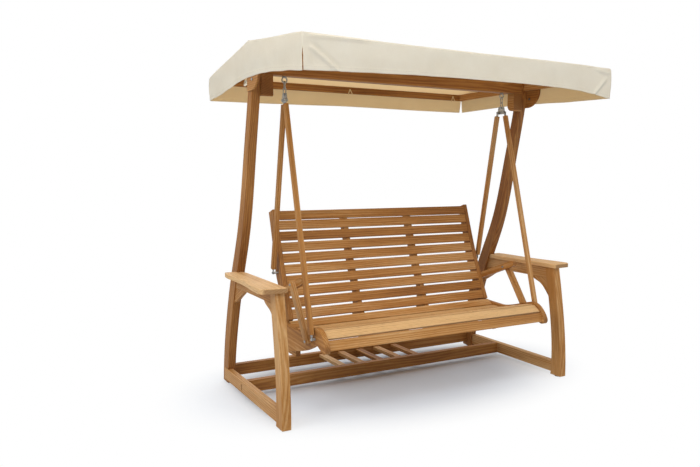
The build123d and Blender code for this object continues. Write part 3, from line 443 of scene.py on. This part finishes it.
canopy = {
    "halfLength": 0.9999, "halfDepth": 0.7099, "thickness": 0.0014, "flat": (2.40, 1.80),
    "step": 0.012, "fineEnds": 0.24, "fineStep": 0.006, "middleStep": 0.017,  # the mesh
    "frontEave": ((-1.0, 1.9600), (-0.8, 1.9590), (-0.5, 1.9535), (0.0, 1.9515), (0.5, 1.9525),
                  (0.8, 1.9500), (0.92, 1.9462), (1.0, 1.9450)),
    "rearEave": 1.9292, "ridge": 2.0385, "ridgeRound": 0.0020, "ridgeDrop": 0.0012,
    "edgeRound": 0.0022, "ripple": 0.0040, "drift": 0.0020, "tight": 0.0028, "lowest": -0.003,
    "frontHem": ((-1.0, 1.786), (-0.8, 1.793), (-0.6, 1.801), (-0.36, 1.809), (-0.1, 1.812),
                 (0.3, 1.810), (0.58, 1.806), (0.74, 1.799), (0.85, 1.788), (1.0, 1.767)),
    "leftHem": ((-0.71, 1.786), (-0.52, 1.810), (-0.3, 1.832), (-0.16, 1.841), (0.0, 1.842),
                (0.17, 1.832), (0.32, 1.815), (0.5, 1.795), (0.71, 1.783)),
    "rightHem": ((-0.71, 1.768), (-0.65, 1.770), (-0.4, 1.776), (-0.15, 1.788), (0.0, 1.795),
                 (0.2, 1.800), (0.45, 1.797), (0.71, 1.795)),
    "rearHem": ((-1.0, 1.782), (-0.8, 1.785), (-0.4, 1.789), (0.0, 1.794), (1.0, 1.796)),
    "hemRipple": 0.0015, "hem": 0.0009, "hemFrom": 0.862, "hemOver": 0.014,
    "lean": 0.0030, "straighten": 0.0012, "wave": 0.0042, "pinchReach": 0.05, "wrap": 0.8,
    "longDrop": 0.164, "sideDrop": 0.2,  # the hanging cloth's height on its weave map
    "slits": {  # width, where the slit starts down the corner, and over how much it opens
        "frontLeft": (0.0048, 0.34, 0.25), "frontRight": (0.0030, 0.55, 0.45),
        "rearLeft": (0.0060, 0.40, 0.60), "rearRight": (0.0150, 0.12, 0.88)},
    "folds": (  # x and drop where a fold starts and ends, its half width and height
        (-0.975, 0.055, -0.80, 0.175, 0.0095, 0.0105), (-0.985, 0.012, -0.64, 0.006, 0.009, 0.0070),
        (-0.992, 0.070, -0.955, 0.150, 0.010, 0.0030),
        (0.968, 0.052, 0.855, 0.172, 0.0095, 0.0090), (0.990, 0.034, 0.88, 0.012, 0.009, 0.0055),
        (0.55, 0.000, 0.50, 0.150, 0.018, 0.0024), (-0.30, 0.000, -0.33, 0.150, 0.020, 0.0018)),
}
valances = (  # name, the way it faces, and where its waves start
    ("front", Vector((0, -1, 0)), -1), ("rear", Vector((0, 1, 0)), 1),
    ("left", Vector((-1, 0, 0)), -3), ("right", Vector((1, 0, 0)), 3),
)


def smooth(value):
    value = min(1.0, max(0.0, value))
    return value * value * (3 - 2 * value)


def heightAt(profile, place):
    if place <= profile[0][0]:
        return profile[0][1]
    for (left, low), (right, high) in zip(profile, profile[1:]):
        if place <= right:
            share = (place - left) / (right - left)
            return low + (high - low) * (0.5 * share + 0.5 * smooth(share))
    return profile[-1][1]


def roofPoint(x, y):
    eave = heightAt(canopy["frontEave"], x) if y < 0 else canopy["rearEave"]
    share = abs(y) / canopy["halfDepth"]
    height = canopy["ridge"] - (canopy["ridge"] - eave) * share
    height += canopy["ridgeRound"] * math.exp(-((share / 0.05) ** 2)) - canopy["ridgeDrop"]
    middle = math.sin(math.pi * share)
    ripple = noise.noise(Vector((x * 1.7, y * 2.6, 4.2))) * canopy["ripple"] * middle
    drift = noise.noise(Vector((x * 5.0, y * 3.0, 9.1))) * canopy["drift"] * middle
    tight = canopy["tight"] * middle * math.cos(math.pi * x * 2.0) * math.exp(-((share - 0.85) / 0.2) ** 2)
    height += max(ripple + drift + tight, canopy["lowest"])
    if share > 0.999:  # the turned edge
        height -= canopy["edgeRound"]
        y = math.copysign(abs(y) - 0.6 * canopy["edgeRound"], y)
    return Vector((x, y, height))


def foldPush(x, fall):
    push = 0.0
    for startX, startFall, endX, endFall, width, height in canopy["folds"]:
        runX, runFall = endX - startX, endFall - startFall
        span = math.hypot(runX, runFall)
        share = ((x - startX) * runX + (fall - startFall) * runFall) / span ** 2
        away = ((x - startX) * runFall - (fall - startFall) * runX) / span
        fade = smooth(share * 4.0 + 0.2) * smooth((1.15 - share) * 2.2)
        push += fade * height * math.exp(-(away / width) ** 2)
        push -= fade * height * 0.5 * math.exp(-((away - 1.9 * width) / (1.3 * width)) ** 2)
    return push


def leanAt(drop):  # how far the hanging cloth stands out
    lean = canopy["lean"]
    return lean * smooth(drop * 12) + lean * math.sin(math.pi * min(1.0, drop * 1.1))


def hang(top, bottom, outward, across, drop, seed, pinch):
    height = top.z + drop * (bottom - top.z)
    wave = noise.noise(Vector((across * 5.0, drop * 1.2, 2.0 + seed)))
    wave += 0.5 * noise.noise(Vector((across * 13.0, drop * 2.0, 7.0 + seed)))
    push = leanAt(drop) - canopy["straighten"] * drop
    push += canopy["wave"] * wave * smooth(drop * 1.3) * (1 - 0.85 * pinch)
    push += canopy["hem"] * smooth((drop - canopy["hemFrom"]) / canopy["hemOver"])
    point = top + outward * max(push, 0.0)
    return Vector((point.x, point.y, height))


def slitAt(drop, front, left):
    corner = ("front" if front else "rear") + ("Left" if left else "Right")
    width, start, run = canopy["slits"][corner]
    return width * min(1.0, max(0.0, (drop - start) / run))


def sheetLines():  # the mesh lines along, across and down, and the rows that are sewn
    length, depth, ends = canopy["halfLength"], canopy["halfDepth"], canopy["fineEnds"]
    columns = round(2 * (length - ends) / canopy["middleStep"])
    fine = round(ends / canopy["fineStep"])
    xs = [-length + ends * number / fine for number in range(fine)]
    xs += [(length - ends) * (2 * number / columns - 1) for number in range(columns)]
    xs += [length - ends + ends * number / fine for number in range(fine + 1)]
    half = round(depth / canopy["step"])
    ys = [-depth + depth * number / half for number in range(half + 1)]
    ys += [depth * number / half for number in range(1, half + 1)]
    drops = [0.0, 0.012, 0.03] + [0.06 + 0.8 * number / 19 for number in range(20)]
    sewnRows = (len(drops) + 1, 3)  # above the hem, and under the eave
    drops += [0.875, 0.89, 0.93, 0.97, 1.0]
    return xs, ys, drops, sewnRows


def valancePoint(name, outward, seed, top, spot, drop):
    isEnd = name in ("left", "right")
    reach = canopy["halfDepth"] if isEnd else canopy["halfLength"]
    bottom = heightAt(canopy[name + "Hem"], spot)
    if not isEnd:
        bottom += canopy["hemRipple"] * math.sin(4.6 * spot + 0.6 + seed)
    pinch = smooth(1 - (reach - abs(spot)) / canopy["pinchReach"])
    point = hang(top, bottom, outward, spot, drop, seed, pinch)
    if name == "front":
        point.y -= foldPush(spot, drop * (top.z - bottom))
    front = spot < 0 if isEnd else name == "front"
    left = name == "left" if isEnd else spot < 0
    wrap = canopy["wrap"] * leanAt(drop) - slitAt(drop, front, left)
    point[1 if isEnd else 0] += math.copysign(1.0, spot) * wrap * pinch
    return point


def clothSpot(name, spot, drop):  # where a hanging point lies on the flat cloth
    if name in ("left", "right"):
        return (-1 if name == "left" else 1) * (canopy["halfLength"] + drop * canopy["sideDrop"]), spot
    return spot, (-1 if name == "front" else 1) * (canopy["halfDepth"] + drop * canopy["longDrop"])


def canopySheet():
    xs, ys, drops, sewnRows = sheetLines()
    work = bmesh.new()
    cloth = work.loops.layers.uv.new("clothMap")
    flat = {}

    def put(point, spot):
        vertex = work.verts.new(point)
        flat[vertex] = spot
        return vertex

    roof = [[put(roofPoint(x, y), (x, y)) for x in xs] for y in ys]
    edges = {"front": roof[0], "rear": roof[-1], "left": [row[0] for row in roof],
             "right": [row[-1] for row in roof]}
    grids = [roof]
    seams = []
    for name, outward, seed in valances:
        edge = edges[name]
        spots = ys if name in ("left", "right") else xs
        grid = [edge]
        for drop in drops[1:]:
            grid.append([put(valancePoint(name, outward, seed, vertex.co, spot, drop),
                             clothSpot(name, spot, drop)) for vertex, spot in zip(edge, spots)])
        grids.append([list(reversed(line)) for line in grid] if name in ("rear", "left") else grid)
        seams += [([vertex.co.copy() for vertex in grid[row]], outward) for row in sewnRows]
    for grid in grids:
        for upper, lower in zip(grid, grid[1:]):
            for corners in zip(upper, upper[1:], lower[1:], lower):
                work.faces.new(corners).smooth = True
    bmesh.ops.recalc_face_normals(work, faces=work.faces)
    for face in work.faces:
        for loop in face.loops:
            loop[cloth].uv = flat[loop.vert]
    if sum(face.normal.z for face in work.faces if abs(face.normal.z) > 0.9) < 0:
        bmesh.ops.reverse_faces(work, faces=work.faces)
    mesh = bpy.data.meshes.new("canopy cloth")
    work.to_mesh(mesh)
    work.free()
    mesh.materials.append(canvasPaint)
    piece = newObject("canopyCloth", mesh)
    wall = piece.modifiers.new("wall", "SOLIDIFY")
    wall.thickness = canopy["thickness"]
    wall.offset = -1.0
    return piece, sum(face.area for face in mesh.polygons), seams


canopyCloth, clothArea, clothSeams = canopySheet()
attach(canopyCloth, "frame")
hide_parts("roof_front", "roof_rear", "valance_front", "valance_rear",
            "valance_left", "valance_right")
print("canopy cloth", round(clothArea, 3), "square metres")

stitch = {
    "length": 0.0036, "pitch": 0.0056, "thick": 0.0007, "proud": 0.0003,
    "sides": 6, "rings": 4, "shortest": 0.85, "longest": 1.1, "seed": 11,
}


def stitchTree(paint):  # small stitches along every edge chain of a mesh
    tree = bpy.data.node_groups.new("stitches", "GeometryNodeTree")
    outside = tree.interface
    outside.new_socket("Geometry", in_out="INPUT", socket_type="NodeSocketGeometry")
    sockets = {}
    for label in ("Length", "Pitch", "Thick"):
        socket = outside.new_socket(label, in_out="INPUT", socket_type="NodeSocketFloat")
        sockets[label] = socket.identifier
    outside.new_socket("Geometry", in_out="OUTPUT", socket_type="NodeSocketGeometry")

    def step(kind, settings=None, inputs=None):
        node = tree.nodes.new(kind)
        for key, value in (settings or {}).items():
            setattr(node, key, value)
        for key, value in (inputs or {}).items():
            if isinstance(value, bpy.types.NodeSocket):
                tree.links.new(value, node.inputs[key])
            else:
                node.inputs[key].default_value = value
        return node

    given = step("NodeGroupInput").outputs
    curve = step("GeometryNodeMeshToCurve", None, {"Mesh": given["Geometry"]})
    spaced = step("GeometryNodeResampleCurve", {"mode": "LENGTH"},
                  {"Curve": curve.outputs["Curve"], "Length": given["Pitch"]})
    tangent = step("GeometryNodeInputTangent")
    turn = step("FunctionNodeAlignRotationToVector", {"axis": "Z"},
                {"Vector": tangent.outputs["Tangent"]})
    scatter = step("FunctionNodeRandomValue", {"data_type": "FLOAT"},
                   {2: stitch["shortest"], 3: stitch["longest"], "Seed": stitch["seed"]})
    body = step("GeometryNodeMeshUVSphere", None,
                {"Segments": stitch["sides"], "Rings": stitch["rings"], "Radius": 0.5})
    size = step("ShaderNodeCombineXYZ", None,
                {0: given["Thick"], 1: given["Thick"], 2: given["Length"]})
    shaped = step("GeometryNodeTransform", None,
                  {"Geometry": body.outputs["Mesh"], "Scale": size.outputs[0]})
    placed = step("GeometryNodeInstanceOnPoints", None,
                  {"Points": spaced.outputs["Curve"], "Instance": shaped.outputs["Geometry"],
                   "Rotation": turn.outputs["Rotation"], "Scale": scatter.outputs[1]})
    whole = step("GeometryNodeRealizeInstances", None, {"Geometry": placed.outputs["Instances"]})
    painted = step("GeometryNodeSetMaterial", None,
                   {"Geometry": whole.outputs["Geometry"], "Material": paint})
    step("NodeGroupOutput", None, {"Geometry": painted.outputs["Geometry"]})
    return tree, sockets


def sewStitches(seams):
    points, edges = [], []
    for line, outward in seams:
        first = len(points)
        points += [point + outward * stitch["proud"] for point in line]
        edges += [(first + number, first + number + 1) for number in range(len(line) - 1)]
    mesh = bpy.data.meshes.new("seam lines")
    mesh.from_pydata([tuple(point) for point in points], edges, [])
    guide = newObject("seamGuide", mesh)
    tree, sockets = stitchTree(threadPaint)
    sewing = guide.modifiers.new("sewing", "NODES")
    sewing.node_group = tree
    for label, value in (("Length", stitch["length"]), ("Pitch", stitch["pitch"]),
                         ("Thick", stitch["thick"])):
        sewing[sockets[label]] = value
    bpy.context.view_layer.update()
    seen = guide.evaluated_get(bpy.context.evaluated_depsgraph_get())
    sewn = bpy.data.meshes.new_from_object(seen)
    piece = newObject("canopyStitches", sewn)
    guide.modifiers.remove(sewing)
    bpy.data.objects.remove(guide)
    uvMap = sewn.uv_layers.new(name="clothMap")
    for loop in sewn.loops:
        spot = sewn.vertices[loop.vertex_index].co
        uvMap.data[loop.index].uv = (spot.x + spot.y, spot.z)
    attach(piece, "frame")
    return len(sewn.polygons)


print("stitches:", sewStitches(clothSeams), "faces")

# tapes that tie the canopy to its rails, in pairs: each point's y, height and sideways bend
tape = {
    "thickness": 0.0011, "width": 0.0070, "steps": 5, "places": (-0.898, 0.0, 0.898),
    "apart": 0.0048, "spread": 0.0022, "layer": 0.0006, "shorter": 0.012,
    "rearRail": ((0.6772, 1.9140, -0.004), (0.6768, 1.9050, -0.003), (0.6766, 1.8960, -0.001),
                 (0.6764, 1.8880, 0.001), (0.6760, 1.8790, 0.002), (0.6750, 1.8710, 0.001)),
    "frontRail": ((-0.6772, 1.9180, 0.0), (-0.6766, 1.8990, 0.0), (-0.6750, 1.8860, -0.001),
                  (-0.6735, 1.8680, 0.003), (-0.6735, 1.8520, 0.006), (-0.6745, 1.8430, 0.010)),
}
knot = {  # the knotted tape behind a post: each point's step outward in millimetres, y and height
    "x": 0.9775, "width": 0.010,
    "loops": (
        ((0, 0.036, 1.828), (4, 0.060, 1.836), (6, 0.095, 1.837), (2, 0.118, 1.828),
         (-3, 0.098, 1.820), (-2, 0.066, 1.819), (0, 0.038, 1.826)),
        ((2, 0.040, 1.822), (-5, 0.070, 1.829), (-6, 0.105, 1.833), (-1, 0.136, 1.826),
         (4, 0.112, 1.818), (3, 0.074, 1.821), (0, 0.044, 1.824)),
        ((0, 0.050, 1.831), (7, 0.072, 1.826), (3, 0.084, 1.818), (-6, 0.078, 1.822),
         (-4, 0.062, 1.832), (3, 0.058, 1.834), (6, 0.070, 1.828)),
        ((3, 0.075, 1.820), (4, 0.092, 1.815), (2, 0.108, 1.813), (5, 0.124, 1.816)),
    ),
}


def ribbon(work, path, flat, width):  # a six-sided tape along a smooth path
    fine = []
    ends = [path[0]] + list(path) + [path[-1]]
    for one, two, three, four in zip(ends, ends[1:], ends[2:], ends[3:]):
        for number in range(tape["steps"]):
            t = number / tape["steps"]
            fine.append(0.5 * (2 * two + (three - one) * t + (2 * one - 5 * two + 4 * three - four) * t * t
                               + (3 * two - one - 3 * three + four) * t ** 3))
    fine.append(path[-1])
    rings = []
    for number, point in enumerate(fine):
        ahead = (fine[min(number + 1, len(fine) - 1)] - fine[max(number - 1, 0)]).normalized()
        side = ahead.cross(flat).normalized() * width / 2
        back = side.cross(ahead).normalized() * tape["thickness"] / 2
        rings.append([work.verts.new(point + side * a + back * b)
                      for a, b in ((-1, -0.6), (0, -1), (1, -0.6), (1, 0.6), (0, 1), (-1, 0.6))])
    for one, two in zip(rings, rings[1:]):
        for number in range(6):
            after = (number + 1) % 6
            work.faces.new((one[number], one[after], two[after], two[number])).smooth = True
    work.faces.new(list(reversed(rings[0])))
    work.faces.new(rings[-1])


def railTape(work, x, rail, strand):
    layer = tape["layer"] * strand * (1 if rail == "rearRail" else -1)
    swing = 1.0 + 0.25 * strand
    path = []
    for number, (y, z, bend) in enumerate(tape[rail]):
        apart = strand * (tape["apart"] + tape["spread"] * number)
        rise = tape["shorter"] if strand > 0 and number == 5 else 0.0
        path.append(Vector((x + apart + swing * bend * strand, y + layer, z + rise)))
    ribbon(work, path, Vector((0, 1, 0.05 * strand)), tape["width"])


def postKnot(work, side):
    for number, loop in enumerate(knot["loops"]):
        path = [Vector((side * knot["x"] + side * step / 1000, y, z)) for step, y, z in loop]
        ribbon(work, path, Vector((1, 0.2 * number - 0.3, 0.3)), knot["width"])


def makeTies():
    work = bmesh.new()
    for x in tape["places"]:
        for rail in ("rearRail", "frontRail"):
            for strand in (-1, 1):
                railTape(work, x, rail, strand)
    for side in (-1, 1):
        postKnot(work, side)
    bmesh.ops.recalc_face_normals(work, faces=work.faces)
    uvMap = work.loops.layers.uv.new("clothMap")
    for face in work.faces:
        for loop in face.loops:
            loop[uvMap].uv = (loop.vert.co.x + loop.vert.co.y, loop.vert.co.z)
    mesh = bpy.data.meshes.new("canopy ties")
    work.to_mesh(mesh)
    work.free()
    mesh.materials.append(tapePaint)
    piece = newObject("canopyTies", mesh)
    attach(piece, "frame")
    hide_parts("canopy_ties")


makeTies()
print("canopy ties done")


# floor, light and camera
studio = {
    "floor": (222, 228, 237), "floorReach": 14.0,
    # shadowLong, shadowDeep and shadowBack size and place the painted shadow: the ellipse where the floor
    # stays darker than white
    "shadowLong": 1.45, "shadowDeep": 0.90, "shadowBack": 0.15, "fadeFrom": 0.50, "fadeTo": 1.08,
    "world": 0.44, "worldColour": (0.95, 0.98, 1.0, 1), "white": (1, 1, 1, 1),
    "lamps": {  # place, the point it faces, size and power
        "key": ((-0.8, -3.7, 4.5), (0, 0, 0.9), 3.4, 116.0),
        "left": ((-4.6, -1.3, 3.6), (0, 0, 1.2), 3.2, 118.0),
        "fill": ((4.4, -2.6, 2.4), (0, 0, 0.9), 3.0, 28.0),
        "top": ((0.3, 1.2, 6.0), (0, 0, 0.8), 3.6, 95.0),
        "back": ((0.2, 3.6, 3.0), (0, 0, 1.2), 2.8, 38.0),
    },
}
lens = {
    "focal": 34.314, "sensor": 36.0, "spot": (-2.2802, -3.5031, 1.3195),
    "turn": 28.605, "down": 5.093, "roll": 0.069,
}


def floorMaterial():  # the floor turns white away from the swing; inside an ellipse round it the plain floor stays darker than that white, a painted shadow laid under the swing's real shadow
    shader = newShader("studio floor")
    x, y = shader.parts(shader.coordinates())[:2]
    long = x / studio["shadowLong"]
    deep = (y - studio["shadowBack"]) / studio["shadowDeep"]
    far = (long * long + deep * deep) ** 0.5
    fade = shader.spread(far, studio["fadeFrom"], studio["fadeTo"], shape="SMOOTHSTEP")
    plain = shader.make("ShaderNodeBsdfDiffuse", None, {"Color": tint(*studio["floor"])})
    showing = shader.ray("Is Camera Ray") + shader.ray("Is Glossy Ray")
    showing = (showing + shader.ray("Is Transmission Ray")).maths("MINIMUM", 1.0)
    white = shader.make("ShaderNodeEmission", None, {"Color": studio["white"], "Strength": 1.0})
    return shader.finish(shader.make("ShaderNodeMixShader", None,
                                     {0: fade * showing, 1: plain, 2: white}))


def makeFloor():
    reach = studio["floorReach"]
    mesh = bpy.data.meshes.new("floor")
    mesh.from_pydata([(-reach, -reach, 0), (reach, -reach, 0), (reach, reach, 0),
                      (-reach, reach, 0)], [], [(0, 1, 2, 3)])
    mesh.materials.append(floorMaterial())
    newObject("floor", mesh)


def makeWorld():
    world = bpy.data.worlds.new("studio")
    bpy.context.scene.world = world
    shader = Shader(world)
    showing = shader.ray("Is Camera Ray").maths("MAXIMUM", shader.ray("Is Transmission Ray"))
    showing = showing.maths("MAXIMUM", shader.ray("Is Glossy Ray"))
    soft = shader.make("ShaderNodeBackground", None,
                       {0: studio["worldColour"], 1: studio["world"]})
    clear = shader.make("ShaderNodeBackground", None, {0: studio["white"], 1: 1.0})
    both = shader.make("ShaderNodeMixShader", None, {0: showing, 1: soft, 2: clear})
    shader.finish(both, "ShaderNodeOutputWorld")


def makeLamps():
    for name, (spot, aim, size, power) in studio["lamps"].items():
        lamp = bpy.data.lights.new(name, "AREA")
        lamp.shape = "SQUARE"
        lamp.size = size
        lamp.energy = power
        light = newObject(name, lamp)
        light.location = spot
        light.rotation_euler = (Vector(aim) - Vector(spot)).to_track_quat("-Z", "Y").to_euler()


def makeCamera():
    data = bpy.data.cameras.new("camera")
    data.sensor_width = lens["sensor"]
    data.lens = lens["focal"]
    turn, down, roll = (math.radians(lens[key]) for key in ("turn", "down", "roll"))
    ahead = Vector((math.sin(turn) * math.cos(down), math.cos(turn) * math.cos(down),
                    -math.sin(down)))
    right = Vector((math.cos(turn), -math.sin(turn), 0))
    over = right.cross(ahead)
    level = right * math.cos(roll) + over * math.sin(roll)
    over = over * math.cos(roll) - right * math.sin(roll)
    camera = newObject("camera", data)
    camera.matrix_world = Matrix((
        (level.x, over.x, -ahead.x, lens["spot"][0]),
        (level.y, over.y, -ahead.y, lens["spot"][1]),
        (level.z, over.z, -ahead.z, lens["spot"][2]),
        (0, 0, 0, 1)))
    bpy.context.scene.camera = camera


makeFloor()
makeWorld()
makeLamps()
makeCamera()
bpy.context.scene.view_settings.view_transform = "Standard"
print("studio and camera set")
